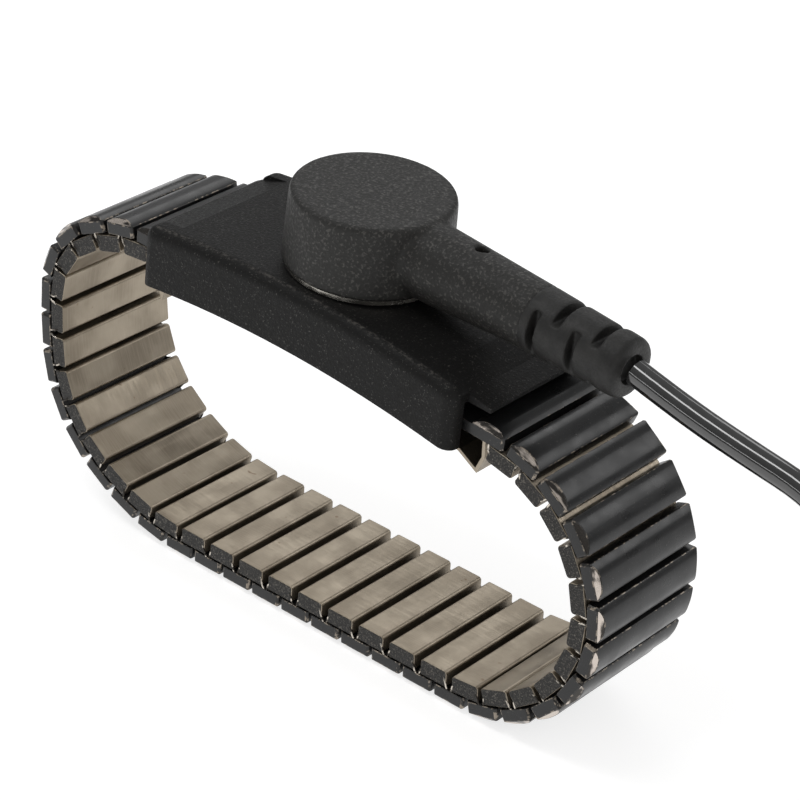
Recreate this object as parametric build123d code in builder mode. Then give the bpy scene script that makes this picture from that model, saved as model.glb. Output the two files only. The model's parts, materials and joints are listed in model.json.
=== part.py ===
"""ESD wrist strap: an expansion band of sprung links, closed by a moulded contact plate with a snap stud,
and a swivelling snap connector on a coaxial ground lead that ends in a banana plug with a crocodile clip.

Frame: +X along the plate towards the lead, +Y across the band, +Z up. The band stands on its lowest links.
All sizes are in millimetres.
"""

import math
import os

from build123d import *

os.makedirs("parts", exist_ok=True)

# ---------------------------------------------------------------- band
BAND_WIDTH = 18.0
PITCH = 4.76                    # from one outer link to the next
LAST_LINK = 33                  # outer links run from 0 to 33, inner links from 1 to 33
LEFT_LINKS = 17                 # link modules carried by the left end of the plate
OUTER_THICK = 2.15              # outer row, from the neutral line to the painted face
INNER_THICK = 2.2               # inner row, from the neutral line to the wrist
ROW_GAP = 0.1                   # each row stops this far from the neutral line
CAP_LENGTH = 4.4                # along the band
CAP_WALL = 0.25
CAP_BEVEL = 0.9
SLEEVE_LENGTH = 3.8
SLEEVE_WALL = 0.17
SLEEVE_WIDTH = 16.4             # across the band: the connecting clips bend outside it
SLEEVE_CLEAR = 0.05
CLIP_THICK = 0.4
CLIP_LEG = 3.6                  # how far a clip's leg reaches into a sleeve
CLIP_BAR_Y = 8.4                # middle of the bend, outside the sleeve ends
LEG_OUTER = -0.9                # height of a clip's leg in an outer sleeve
LEG_INNER = 1.1
LEG_FIXED = -1.45               # leg that stays put in its outer sleeve
LEG_FIXED_INNER = 0.9
LEG_TRAVEL_START = -0.5         # leg that travels in the outer sleeve before it
LEG_TRAVEL_INNER = -1.45
LEG_KNEE = 0.25                 # height at which a travelling clip's bar bends over
STRETCH = 1.35                  # how far one pitch opens, on average

# Neutral line from the plate's left end, round the left bend, along the bottom and up the right bend:
# (radius, angle) for each arc and (0, length) for the straight.
BEND_LEFT = [(20.78, 26.8), (12.0, 63.4), (55.97, 8.2), (17.54, 46.5), (25.59, 37.6)]
BOTTOM_RUN = 43.42
BEND_RIGHT = [(16.98, 69.7), (16.86, 107.8)]
START_ANGLE = 360.0 - sum(angle for _, angle in BEND_LEFT)

# ---------------------------------------------------------------- plate
PLATE_X = 18.4                  # from the start of the bottom run
PLATE_Z = 39.08
PLATE_TILT = 3.0
PLATE_HALF = 23.5
PLATE_DEPTH = 22.6              # across the band
PLATE_CROWN = 5.45              # top of the arch above the plate's own origin
PLATE_THICK = 7.6
PLATE_SAG = 1.7
PLATE_WALL = 1.5
PLATE_ROOF = 2.2
PLATE_FLANK = 2.0
PLATE_EDGE = 1.5                # rounding round the top
PLATE_CORNER = 1.6              # rounding of the four upright corners
PLATE_RAMP = 4.0                # the top slopes down over this length to each end, between the corners
PLATE_TONGUE = 17.6             # width of the slope and of the tongue below it
TONGUE_ENDS = ((-1, 0.9), (1, 3.2))  # end of the plate, and how far its tongue runs past it
TONGUE_ROOT = 2.95              # height of the tongue's top at the plate's end
TONGUE_TIP = 2.4
TONGUE_UNDER = 1.7
END_ROOM_TOP = 1.9              # the end links tuck in under this
ROOF_UNDER = PLATE_CROWN - PLATE_ROOF
BACK_TOP = -2.2
BACK_SHEET = 0.4
BACK_WIDTH = 16.0
BACK_SAG = 2.9
EYE_X = -1.3                    # rolled eye in the end link, from that link's middle
EYE_PIN = 0.25
RIVET_X = 14.0
RIVET_RADIUS = 1.2

# ---------------------------------------------------------------- snap connector
STUD_X = 0.7                    # from the middle of the plate
STUD_RADIUS = 2.0
STUD_HEAD = 2.35
STUD_BASE = 4.6
HEAD_RADIUS = 9.7
HEAD_TOP_RADIUS = 9.45
HEAD_BOTTOM = 6.15
HEAD_TOP = 14.9
RING_RADIUS = 9.4
SWIVEL_REST = -2.7              # degrees about the stud
NECK_HEIGHT = 10.5
NECK_ROOT = 4.3
NECK_TIP = 3.8
NECK_END = 25.6
TAIL_END = 38.8
TAIL_TIP = 3.35
SIDE_SLOTS = (27.0, 32.3)
TOP_SLOTS = (29.6, 34.9)
SLOT_WIDTH = 1.1
TAIL_CORE = 2.0
VENT_X = 15.8                   # small moulding hole on top of the neck
VENT_RADIUS = 0.85
SOCKET_RADIUS = 4.2
SOCKET_BORE = 2.42
SOCKET_GROOVE = 3.05
SOCKET_TOP = 10.6
RING_WIRE = 0.25
RING_WIRE_RADIUS = 2.73
RING_WIRE_HEIGHT = 7.3
LEAD_WIRE = 0.3
RESISTOR_X = 12.5
RESISTOR_RADIUS = 1.2
RESISTOR_LENGTH = 6.5

# ---------------------------------------------------------------- lead
CORD = 3.0
HANK_X = 73.5                   # near end of the put-away hank
HANK_LENGTH = 60.0
HANK_BEND = 9.0                 # middle of the inner turn
HANK_WIDE = 2                   # strands side by side
HANK_HIGH = 7                   # strands on top of each other
TIE_THICK = 0.8
TIE_WIDTH = 9.0
PLUG_X = 161.5
PLUG_Y = -5.0
PLUG_Z = 4.65
PLUG_LENGTH = 24.0
PLUG_RADIUS = 4.6
PIN_RADIUS = 2.0
PIN_LENGTH = 13.0
BARREL_LENGTH = 11.0
BARREL_RADIUS = 2.8
JAW_LENGTH = 26.0
JAW_WIDTH = 6.4
SHEET = 0.6
PIVOT_RADIUS = 0.8


def write(part, name):
    """Labels a finished piece and writes it as one STEP file."""
    part.label = name
    export_step(part, f"parts/{name}.step")


# ================================================================ the band's line
def walk(distance):
    """Point and direction at a distance along the neutral line, before the line is put in place."""
    x, z, angle = 0.0, 0.0, math.radians(START_ANGLE)
    for radius, size in BEND_LEFT + [(0.0, BOTTOM_RUN)] + BEND_RIGHT:
        length = radius * math.radians(size) if radius else size
        step = min(distance, length)
        if radius:
            turned = angle + step / radius
            x += radius * (math.sin(turned) - math.sin(angle))
            z -= radius * (math.cos(turned) - math.cos(angle))
            angle = turned
        else:
            x += step * math.cos(angle)
            z += step * math.sin(angle)
        distance -= step
        if distance <= 0:
            break
    return x + distance * math.cos(angle), z + distance * math.sin(angle), angle


LEFT_LENGTH = sum(radius * math.radians(angle) for radius, angle in BEND_LEFT)
bottom_x, bottom_z, _ = walk(LEFT_LENGTH)


def cap_reach(row):
    """How far one outer link's painted corners reach along X."""
    x, _, angle = walk(row * PITCH)
    out = x - bottom_x + OUTER_THICK * math.sin(angle)
    half = CAP_LENGTH / 2 * abs(math.cos(angle))
    return out - half, out + half


reaches = [cap_reach(row) for row in range(LAST_LINK + 1)]
CENTRE_X = -(min(low for low, _ in reaches) + max(high for _, high in reaches)) / 2


def station(row):
    """Plane on the neutral line: x along the band, y across it, z towards the wrist."""
    x, z, angle = walk(row * PITCH)
    origin = (x - bottom_x + CENTRE_X, 0, z - bottom_z + OUTER_THICK)
    return Plane(origin=origin, x_dir=(math.cos(angle), 0, math.sin(angle)),
                 z_dir=(-math.sin(angle), 0, math.cos(angle)))


def spot(row, along, inward):
    """A point in the XZ plane, given in a link's own frame."""
    p = station(row).from_local_coords(Vector(along, 0, inward))
    return p.X, p.Z


# ================================================================ link pieces, in the link's frame
def outer_cap():
    """Painted cap: open towards the wrist, its two ends bevelled."""
    with BuildPart() as cap:
        with Locations((0, 0, -OUTER_THICK)):
            Box(CAP_LENGTH, BAND_WIDTH, OUTER_THICK - ROW_GAP,
                align=(Align.CENTER, Align.CENTER, Align.MIN))
        ends = cap.edges().filter_by(Axis.X).group_by(Axis.Z)[0]
        chamfer(ends, length=CAP_BEVEL)
        sides = cap.edges().filter_by(Axis.Y).group_by(Axis.Z)[0]
        chamfer(sides, length=0.35)
        with Locations((0, 0, -OUTER_THICK + CAP_WALL)):
            Box(CAP_LENGTH - 2 * CAP_WALL, SLEEVE_WIDTH + 0.9, OUTER_THICK,
                align=(Align.CENTER, Align.CENTER, Align.MIN), mode=Mode.SUBTRACT)
    return cap.part


def sleeve(low, high):
    """Thin steel tube that runs across the band, from low to high above the neutral line."""
    middle, tall = (low + high) / 2, high - low
    with BuildPart() as tube:
        with BuildSketch(Plane.XZ.offset(-SLEEVE_WIDTH / 2)):
            with Locations((0, middle)):
                Rectangle(SLEEVE_LENGTH, tall)
                Rectangle(SLEEVE_LENGTH - 2 * SLEEVE_WALL, tall - 2 * SLEEVE_WALL, mode=Mode.SUBTRACT)
        extrude(amount=SLEEVE_WIDTH)
    return tube.part


def leaf_spring(height):
    """Flat spring that presses the clips' legs, standing clear of the sleeve."""
    with BuildPart() as leaf:
        with Locations((0, 0, height)):
            Box(SLEEVE_LENGTH - 1.0, SLEEVE_WIDTH - 1.6, 0.12)
    return leaf.part


def clip(start, knee, end, side):
    """U-shaped clip at one edge: two legs, and a bar that joins them outside the sleeves."""
    rows = [start[0], end[0]]
    ends = [(start[1], start[2]), (end[1], end[2])]
    route = [spot(*start), spot(*knee), spot(*end)]
    with BuildPart() as wire:
        for row, (along, inward) in zip(rows, ends):
            leg = station(row).offset(inward)
            with Locations(leg.location * Location((along, side * (CLIP_BAR_Y - CLIP_LEG / 2), 0))):
                Box(CLIP_THICK, CLIP_LEG + CLIP_THICK, CLIP_THICK)
        with BuildSketch(Plane.XZ.offset(-side * CLIP_BAR_Y)):
            with BuildLine():
                Polyline(*route)
            trace(line_width=CLIP_THICK)
            with Locations(*route):
                Circle(CLIP_THICK / 2)
        extrude(amount=CLIP_THICK / 2, both=True)
    return wire.part


CAP = outer_cap()
OUTER_SLEEVE = sleeve(-OUTER_THICK + CAP_WALL + SLEEVE_CLEAR, -ROW_GAP - SLEEVE_CLEAR)
INNER_SLEEVE = sleeve(ROW_GAP, INNER_THICK)
OUTER_LEAF = leaf_spring(-1.55)
INNER_LEAF = leaf_spring(1.75)


def band_link(inner_row, outer_row, name):
    """One module of the band: an inner link, the outer link beyond it, and the clips at both edges."""
    ahead = 1 if outer_row > inner_row else -1
    inner_place = station(inner_row).location
    outer_place = station(outer_row).location
    pieces = [CAP.moved(outer_place), OUTER_SLEEVE.moved(outer_place), OUTER_LEAF.moved(outer_place)]
    pieces += [INNER_SLEEVE.moved(inner_place), INNER_LEAF.moved(inner_place)]
    before = outer_row - ahead
    for side in (-1, 1):
        pieces.append(clip((outer_row, ahead * LEG_FIXED, LEG_OUTER),
                           (outer_row, ahead * LEG_FIXED, ROW_GAP),
                           (inner_row, ahead * LEG_FIXED_INNER, LEG_INNER), side))
        pieces.append(clip((before, ahead * LEG_TRAVEL_START, LEG_OUTER),
                           (before, ahead * LEG_TRAVEL_START, LEG_KNEE),
                           (inner_row, ahead * LEG_TRAVEL_INNER, LEG_INNER), side))
    write(Compound(children=pieces), name)


for row in range(1, LEFT_LINKS):
    band_link(row - 0.5, row, f"band_link_{row:02d}")
for row in range(LAST_LINK, LEFT_LINKS, -1):
    band_link(row - 0.5, row - 1, f"band_link_{row:02d}")

# The closing link: an inner sleeve whose second clip hooks into the outer link of the other half.
closing_place = station(LEFT_LINKS - 0.5).location
closing = [INNER_SLEEVE.moved(closing_place), INNER_LEAF.moved(closing_place)]
for side in (-1, 1):
    closing.append(clip((LEFT_LINKS - 1, LEG_TRAVEL_START, LEG_OUTER),
                        (LEFT_LINKS - 1, LEG_TRAVEL_START, LEG_KNEE),
                        (LEFT_LINKS - 0.5, LEG_TRAVEL_INNER, LEG_INNER), side))
    closing.append(clip((LEFT_LINKS, -LEG_TRAVEL_START, LEG_OUTER),
                        (LEFT_LINKS, -LEG_TRAVEL_START, LEG_KNEE),
                        (LEFT_LINKS - 0.5, -LEG_TRAVEL_INNER, LEG_INNER), side))
write(Compound(children=closing), f"band_link_{LEFT_LINKS:02d}")

# ================================================================ plate
tilt = math.radians(PLATE_TILT)
PLATE = Plane(origin=(CENTRE_X + PLATE_X, 0, PLATE_Z), x_dir=(math.cos(tilt), 0, -math.sin(tilt)),
              z_dir=(math.sin(tilt), 0, math.cos(tilt)))
PLATE_SIDE = Plane(origin=PLATE.origin, x_dir=PLATE.x_dir, z_dir=(0, -1, 0))
STUD = Plane(PLATE.location * Location((STUD_X, 0, 0)))
STUD_SIDE = Plane(origin=STUD.origin, x_dir=STUD.x_dir, z_dir=(0, -1, 0))
STUD_AXIS = Axis(STUD.origin, STUD.z_dir)
RAMP_TOP = PLATE_CROWN - PLATE_SAG * ((PLATE_HALF - PLATE_RAMP) / PLATE_HALF) ** 2


def arch_face(half, crown, thick):
    """Side view of an arched slab of the plate's own curve: two arcs and two straight ends."""
    end = crown - PLATE_SAG * (half / PLATE_HALF) ** 2
    with BuildLine() as outline:
        ThreePointArc((-half, end), (0, crown), (half, end))
        Line((half, end), (half, end - thick))
        ThreePointArc((half, end - thick), (0, crown - thick), (-half, end - thick))
        Line((-half, end - thick), (-half, end))
    return make_face(outline.edges())


with BuildPart() as plate_housing:
    with BuildSketch(PLATE_SIDE):
        arch_face(PLATE_HALF, PLATE_CROWN, PLATE_THICK)
    extrude(amount=PLATE_DEPTH / 2, both=True)
    fillet(plate_housing.edges().filter_by(Axis(PLATE.origin, PLATE.z_dir)), radius=PLATE_CORNER)
    top_face = plate_housing.faces().filter_by(GeomType.CYLINDER).sort_by(Axis.Z)[-1]
    fillet(top_face.edges(), radius=PLATE_EDGE)
    # Between its corners the top slopes down to each end, where a tongue covers the end link.
    with BuildSketch(PLATE_SIDE):
        for side, _ in TONGUE_ENDS:
            with BuildLine():
                Polyline((side * (PLATE_HALF - PLATE_RAMP), RAMP_TOP), (side * PLATE_HALF, TONGUE_ROOT),
                         (side * (PLATE_HALF + 1), TONGUE_ROOT), (side * (PLATE_HALF + 1), PLATE_CROWN),
                         (side * (PLATE_HALF - PLATE_RAMP), PLATE_CROWN), close=True)
            make_face()
    extrude(amount=PLATE_TONGUE / 2, both=True, mode=Mode.SUBTRACT)
    with BuildSketch(PLATE_SIDE):
        for side, reach in TONGUE_ENDS:
            with BuildLine():
                Polyline((side * (PLATE_HALF - PLATE_RAMP), TONGUE_ROOT), (side * PLATE_HALF, TONGUE_ROOT),
                         (side * (PLATE_HALF + reach), TONGUE_TIP), (side * (PLATE_HALF + reach), TONGUE_UNDER),
                         (side * (PLATE_HALF - PLATE_RAMP), TONGUE_UNDER), close=True)
            make_face()
    extrude(amount=PLATE_TONGUE / 2, both=True)
    # Hollow underside, then an opening at each end where the end links tuck in.
    with BuildSketch(PLATE_SIDE):
        arch_face(PLATE_HALF - PLATE_WALL, PLATE_CROWN - PLATE_ROOF, PLATE_THICK)
    extrude(amount=PLATE_DEPTH / 2 - PLATE_FLANK, both=True, mode=Mode.SUBTRACT)
    with BuildSketch(PLATE_SIDE):
        for side in (-1, 1):
            with Locations((side * (PLATE_HALF + 0.5), END_ROOM_TOP - 5)):
                Rectangle(8.0, 10.0)
    extrude(amount=BAND_WIDTH / 2 + 0.3, both=True, mode=Mode.SUBTRACT)
    with Locations(STUD.offset(PLATE_CROWN)):
        Hole(STUD_RADIUS + 0.05, depth=4.0)
write(plate_housing.part, "plate_housing")

# Steel contact plate against the wrist: an arched sheet with a hook and a rolled eye at each end.
eyes = []
for row, ahead in ((0, 1), (LAST_LINK, -1)):
    eye = PLATE_SIDE.to_local_coords(station(row).from_local_coords(Vector(ahead * EYE_X, 0, LEG_OUTER)))
    eyes.append((eye.X, eye.Y))
with BuildPart() as back_plate:
    with BuildSketch(PLATE_SIDE):
        for eye, side in zip(eyes, (-1, 1)):
            with BuildLine():
                ThreePointArc((0, BACK_TOP), (side * 11.5, BACK_TOP - BACK_SAG / 4),
                              (side * 22.6, BACK_TOP - BACK_SAG))
                Polyline((side * 22.6, BACK_TOP - BACK_SAG), (eye[0] - side * 0.3, BACK_TOP - BACK_SAG - 1.4),
                         (eye[0] + side * 0.45, BACK_TOP - BACK_SAG + 0.6), (eye[0] + side * 0.2, eye[1] - 0.45))
            trace(line_width=BACK_SHEET)
            with Locations(eye):
                Circle(EYE_PIN + BACK_SHEET - 0.05)
        for eye in eyes:
            with Locations(eye):
                Circle(EYE_PIN + 0.03, mode=Mode.SUBTRACT)
    extrude(amount=BACK_WIDTH / 2, both=True)
write(back_plate.part, "back_plate")

with BuildPart() as end_pins:
    with BuildSketch(PLATE_SIDE):
        with Locations(*eyes):
            Circle(EYE_PIN)
    extrude(amount=SLEEVE_WIDTH / 2, both=True)
write(end_pins.part, "end_pins")

for row, name in ((0, "end_link_left"), (LAST_LINK, "end_link_right")):
    write(CAP.moved(station(row).location), name)

# ================================================================ snap stud, in the plate's frame
with BuildPart() as snap_stud:
    with BuildSketch(STUD_SIDE):
        with BuildLine():
            Polyline((0, ROOF_UNDER - 0.8), (STUD_BASE, ROOF_UNDER - 0.8), (STUD_BASE, ROOF_UNDER - 0.05),
                     (STUD_RADIUS, ROOF_UNDER - 0.05), (STUD_RADIUS, 6.6), (STUD_RADIUS - 0.2, 7.0),
                     (STUD_RADIUS - 0.2, 7.6), (STUD_HEAD, 8.2), (STUD_HEAD, 8.7), (1.5, 9.5), (0, 9.6),
                     close=True)
        make_face()
    revolve(axis=STUD_AXIS)
write(snap_stud.part, "snap_stud")

with BuildPart() as stud_washer:
    with Locations(STUD.offset(ROOF_UNDER - 1.3)):
        Cylinder(STUD_BASE - 0.6, 0.4)
write(stud_washer.part, "stud_washer")

with BuildPart() as plate_rivets:
    with Locations(PLATE.location):
        with Locations((-RIVET_X, 0, 0), (RIVET_X, 0, 0)):
            with Locations((0, 0, BACK_TOP - 0.3)):
                Cylinder(RIVET_RADIUS, 4.6, align=(Align.CENTER, Align.CENTER, Align.MIN))
write(plate_rivets.part, "plate_rivets")

# ================================================================ snap connector, in its own frame
HEAD = Plane(STUD.location * Location((0, 0, 0), (0, 0, SWIVEL_REST)))
HEAD_SIDE = Plane(origin=HEAD.origin, x_dir=HEAD.x_dir, z_dir=-HEAD.y_dir)
NECK_AXIS = Axis(HEAD.from_local_coords(Vector(0, 0, NECK_HEIGHT)), HEAD.x_dir)

with BuildPart() as ring_spring:
    with BuildSketch(HEAD_SIDE):
        with Locations((RING_WIRE_RADIUS, RING_WIRE_HEIGHT)):
            Circle(RING_WIRE)
    revolve(axis=STUD_AXIS)
write(ring_spring.part, "ring_spring")

with BuildPart() as snap_socket:
    with BuildSketch(HEAD_SIDE):
        with BuildLine():
            Polyline((0, SOCKET_TOP - 0.6), (SOCKET_BORE, SOCKET_TOP - 0.9), (SOCKET_BORE, 7.6), (SOCKET_GROOVE, 7.6),
                     (SOCKET_GROOVE, 7.0), (SOCKET_BORE, 7.0), (SOCKET_BORE + 0.3, 6.2), (SOCKET_RADIUS, 6.2),
                     (SOCKET_RADIUS, SOCKET_TOP), (0, SOCKET_TOP), close=True)
        make_face()
    revolve(axis=STUD_AXIS)
write(snap_socket.part, "snap_socket")

with BuildPart() as base_ring:
    with Locations(HEAD.offset(HEAD_BOTTOM - 0.3)):
        Cylinder(RING_RADIUS, 0.5)
        Cylinder(SOCKET_RADIUS + 0.1, 0.5, mode=Mode.SUBTRACT)
write(base_ring.part, "base_ring")


def neck_cone(low, high, low_radius, high_radius):
    """Side view of a tapered length of the neck, above its axis."""
    with BuildLine() as outline:
        Polyline((low, NECK_HEIGHT), (low, NECK_HEIGHT + low_radius), (high, NECK_HEIGHT + high_radius),
                 (high, NECK_HEIGHT), close=True)
    return make_face(outline.edges())


with BuildPart() as connector_head:
    with BuildSketch(HEAD_SIDE):
        with BuildLine():
            Polyline((0, HEAD_BOTTOM), (HEAD_RADIUS, HEAD_BOTTOM), (HEAD_TOP_RADIUS, HEAD_TOP - 0.5),
                     (HEAD_TOP_RADIUS - 0.5, HEAD_TOP), (0, HEAD_TOP), close=True)
        make_face()
    revolve(axis=STUD_AXIS)
    with BuildSketch(HEAD_SIDE):
        neck_cone(0, NECK_END, NECK_ROOT + 0.1, NECK_TIP)
    revolve(axis=NECK_AXIS)
    with BuildSketch(HEAD_SIDE):
        with Locations(((SOCKET_RADIUS + 0.05) / 2, (SOCKET_TOP + HEAD_BOTTOM) / 2)):
            Rectangle(SOCKET_RADIUS + 0.05, SOCKET_TOP - HEAD_BOTTOM + 0.1)
    revolve(axis=STUD_AXIS, mode=Mode.SUBTRACT)
    with BuildSketch(HEAD_SIDE):
        neck_cone(0, NECK_END, LEAD_WIRE + 0.1, LEAD_WIRE + 0.1)
        neck_cone(RESISTOR_X - 0.1, RESISTOR_X + RESISTOR_LENGTH + 0.1, RESISTOR_RADIUS + 0.1,
                  RESISTOR_RADIUS + 0.1)
    revolve(axis=NECK_AXIS, mode=Mode.SUBTRACT)
    with Locations(HEAD.offset(NECK_HEIGHT + NECK_ROOT - 1.0).location * Location((VENT_X, 0, 0))):
        Cylinder(VENT_RADIUS, 2.2, mode=Mode.SUBTRACT)
write(connector_head.part, "connector_head")

with BuildPart() as resistor:
    with BuildSketch(HEAD_SIDE):
        neck_cone(RESISTOR_X, RESISTOR_X + RESISTOR_LENGTH, RESISTOR_RADIUS, RESISTOR_RADIUS)
    revolve(axis=NECK_AXIS)
write(resistor.part, "resistor")

with BuildPart() as resistor_leads:
    with BuildSketch(HEAD_SIDE):
        neck_cone(SOCKET_RADIUS + 0.05, RESISTOR_X, LEAD_WIRE, LEAD_WIRE)
        neck_cone(RESISTOR_X + RESISTOR_LENGTH, NECK_END - 0.1, LEAD_WIRE, LEAD_WIRE)
    revolve(axis=NECK_AXIS)
write(resistor_leads.part, "resistor_leads")

with BuildPart() as strain_relief:
    with BuildSketch(HEAD_SIDE):
        neck_cone(NECK_END, TAIL_END, NECK_TIP, TAIL_TIP)
    revolve(axis=NECK_AXIS)
    chamfer(strain_relief.edges().sort_by(Axis.X)[-1], length=0.7)
    middle = HEAD.offset(NECK_HEIGHT).location
    for place in SIDE_SLOTS:
        with Locations(middle * Location((place, TAIL_CORE + 2, -0.6)), middle * Location((place, -TAIL_CORE - 2, -0.6))):
            Box(SLOT_WIDTH, 4, 6.5, mode=Mode.SUBTRACT)
    for place in TOP_SLOTS:
        with Locations(middle * Location((place, 0, TAIL_CORE + 2)), middle * Location((place, 0, -TAIL_CORE - 2))):
            Box(SLOT_WIDTH, 6.0, 4, mode=Mode.SUBTRACT)
write(strain_relief.part, "strain_relief")

# ================================================================ lead
exit_point = HEAD.from_local_coords(Vector(TAIL_END, 0, NECK_HEIGHT))
hank_width = 2 * HANK_BEND + (2 * HANK_WIDE - 1) * CORD
hank_bottom = TIE_THICK + 0.05
outer_turn = HANK_BEND + (HANK_WIDE - 1) * CORD
hank_near = HANK_X + hank_width / 2
hank_far = HANK_X + HANK_LENGTH - hank_width / 2
last_layer = hank_bottom + (HANK_HIGH - 0.5) * CORD

LEAD_ROUTE = [
    tuple(exit_point),
    (46.5, -2.2, 45.9),
    (55.0, -2.8, 44.8),
    (64.0, -3.5, 43.9),
    (71.5, -4.7, 39.9),
    (77.2, -6.0, 33.4),
    (82.5, -7.4, 26.6),
    (89.0, -8.6, 22.2),
    (hank_near + 9.0, -HANK_BEND, last_layer),
]
TAIL_ROUTE = [
    (hank_far - 1.0, -outer_turn, last_layer),
    (130.0, -12.3, 19.4),
    (138.5, -11.2, 15.0),
    (146.0, -8.8, 9.3),
    (153.5, -6.3, 5.6),
    (PLUG_X, PLUG_Y, PLUG_Z),
]


def cord_tube(route):
    """Round cord along straight runs joined by arcs as large as the runs allow."""
    points = [Vector(*p) for p in route]
    runs = [b - a for a, b in zip(points, points[1:])]
    radii = []
    for before, after in zip(runs, runs[1:]):
        half_turn = math.radians(before.get_angle(after)) / 2
        radii.append(0.45 * min(before.length, after.length) / math.tan(half_turn))
    print("cord radii", [round(radius, 1) for radius in radii])
    with BuildPart() as tube:
        with BuildLine() as path:
            FilletPolyline(*points, radius=radii)
        with BuildSketch(Plane(origin=points[0], z_dir=runs[0])):
            Circle(CORD / 2)
        sweep()
    length = sum(edge.length for edge in path.edges())
    print("cord length", round(length, 1), "volume", round(tube.part.volume, 1),
          "section x length", round(length * math.pi * CORD ** 2 / 4, 1))
    return tube.part


write(cord_tube(LEAD_ROUTE), "cord_lead")
write(cord_tube(TAIL_ROUTE), "cord_tail")

with BuildPart() as cord_hank:
    with BuildSketch(Plane.XY.offset(hank_bottom)):
        with Locations((HANK_X + HANK_LENGTH / 2, 0)):
            SlotOverall(HANK_LENGTH, hank_width)
            SlotOverall(HANK_LENGTH - 2 * HANK_WIDE * CORD, hank_width - 2 * HANK_WIDE * CORD,
                        mode=Mode.SUBTRACT)
    extrude(amount=HANK_HIGH * CORD)
write(cord_hank.part, "cord_hank")

with BuildPart() as hank_tie:
    with BuildSketch(Plane.YZ.offset(HANK_X + HANK_LENGTH / 2 - TIE_WIDTH / 2)):
        with Locations((0, hank_bottom + HANK_HIGH * CORD / 2)):
            Rectangle(hank_width + 0.1 + 2 * TIE_THICK, HANK_HIGH * CORD + 0.1 + 2 * TIE_THICK)
            Rectangle(hank_width + 0.1, HANK_HIGH * CORD + 0.1, mode=Mode.SUBTRACT)
    extrude(amount=TIE_WIDTH)
write(hank_tie.part, "hank_tie")

# ================================================================ banana plug
PLUG_SIDE = Plane(origin=(PLUG_X, PLUG_Y, PLUG_Z), x_dir=(1, 0, 0), z_dir=(0, -1, 0))
PLUG_AXIS = Axis((PLUG_X, PLUG_Y, PLUG_Z), (1, 0, 0))


def turned(name, *points):
    """A turned piece on the plug's axis, written from its half profile."""
    with BuildPart() as piece:
        with BuildSketch(PLUG_SIDE):
            with BuildLine():
                Polyline(*points, close=True)
            make_face()
        revolve(axis=PLUG_AXIS)
    write(piece.part, name)


shank = PLUG_LENGTH - 8.0
turned("plug_body", (0, 0), (0, 2.4), (9, 3.0), (12, PLUG_RADIUS), (PLUG_LENGTH, PLUG_RADIUS),
       (PLUG_LENGTH, 1.55), (shank - 0.05, 1.55), (shank - 0.05, 0))
turned("banana_pin", (shank, 0), (shank, 1.5), (PLUG_LENGTH + 0.05, 1.5), (PLUG_LENGTH + 0.05, 2.9),
       (PLUG_LENGTH + 0.8, 2.9), (PLUG_LENGTH + 0.8, PIN_RADIUS), (PLUG_LENGTH + PIN_LENGTH - 1, PIN_RADIUS),
       (PLUG_LENGTH + PIN_LENGTH, 1.2), (PLUG_LENGTH + PIN_LENGTH, 0))

# ================================================================ crocodile clip, from the end of its barrel
CLIP_X = PLUG_X + PLUG_LENGTH + 1.0 + BARREL_LENGTH
CLIP_SIDE = Plane(origin=(CLIP_X, PLUG_Y, PLUG_Z), x_dir=(1, 0, 0), z_dir=(0, -1, 0))
PIVOT = (9.0, 1.2)

with BuildPart() as clip_lower_jaw:
    with BuildSketch(CLIP_SIDE):
        with BuildLine():
            Polyline((0, -3.1), (JAW_LENGTH, -2.6), (JAW_LENGTH, -1.5), (JAW_LENGTH - 1, -2.0),
                     (JAW_LENGTH - 2, -1.5), (JAW_LENGTH - 3, -2.0), (JAW_LENGTH - 4, -1.5),
                     (15, -1.7), (PIVOT[0] + 1.5, 2.6), (PIVOT[0] - 1.5, 2.6), (3, -0.5), (0, 0), close=True)
        make_face()
    extrude(amount=JAW_WIDTH / 2, both=True)
    with BuildSketch(CLIP_SIDE):
        with Locations((JAW_LENGTH / 2 + 2, 1.0)):
            Rectangle(JAW_LENGTH + 8, 7.0)
    extrude(amount=JAW_WIDTH / 2 - SHEET, both=True, mode=Mode.SUBTRACT)
    with Locations(Location((CLIP_X - BARREL_LENGTH / 2, PLUG_Y, PLUG_Z), (0, 90, 0))):
        Cylinder(BARREL_RADIUS, BARREL_LENGTH)
        Cylinder(PIN_RADIUS + 0.06, BARREL_LENGTH + 1.0, mode=Mode.SUBTRACT)
    with BuildSketch(CLIP_SIDE):
        with Locations(PIVOT):
            Circle(PIVOT_RADIUS)
    extrude(amount=JAW_WIDTH, both=True, mode=Mode.SUBTRACT)
write(clip_lower_jaw.part, "clip_lower_jaw")

with BuildPart() as clip_upper_jaw:
    with BuildSketch(CLIP_SIDE):
        with BuildLine():
            Polyline((JAW_LENGTH, -1.35), (JAW_LENGTH, -0.4), (14, 3.4), (6, 5.2), (-7, 10.4), (-7, 9.0), (2, 4.6),
                     (4.5, 2.2), (7, -0.4), (11, -0.4), (JAW_LENGTH - 4, -1.35), (JAW_LENGTH - 3, -0.9),
                     (JAW_LENGTH - 2, -1.35), (JAW_LENGTH - 1, -0.9), close=True)
        make_face()
    extrude(amount=JAW_WIDTH / 2 - SHEET - 0.1, both=True)
    with BuildSketch(CLIP_SIDE):
        with BuildLine():
            Polyline((JAW_LENGTH + 1, -3.0), (JAW_LENGTH + 1, -1.0), (14, 2.8), (6, 4.6), (-8, 10.2), (-8, -3.0),
                     close=True)
        make_face()
    extrude(amount=JAW_WIDTH / 2 - 2 * SHEET - 0.1, both=True, mode=Mode.SUBTRACT)
    with BuildSketch(CLIP_SIDE):
        with Locations(PIVOT):
            Circle(PIVOT_RADIUS)
    extrude(amount=JAW_WIDTH, both=True, mode=Mode.SUBTRACT)
write(clip_upper_jaw.part, "clip_upper_jaw")

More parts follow.
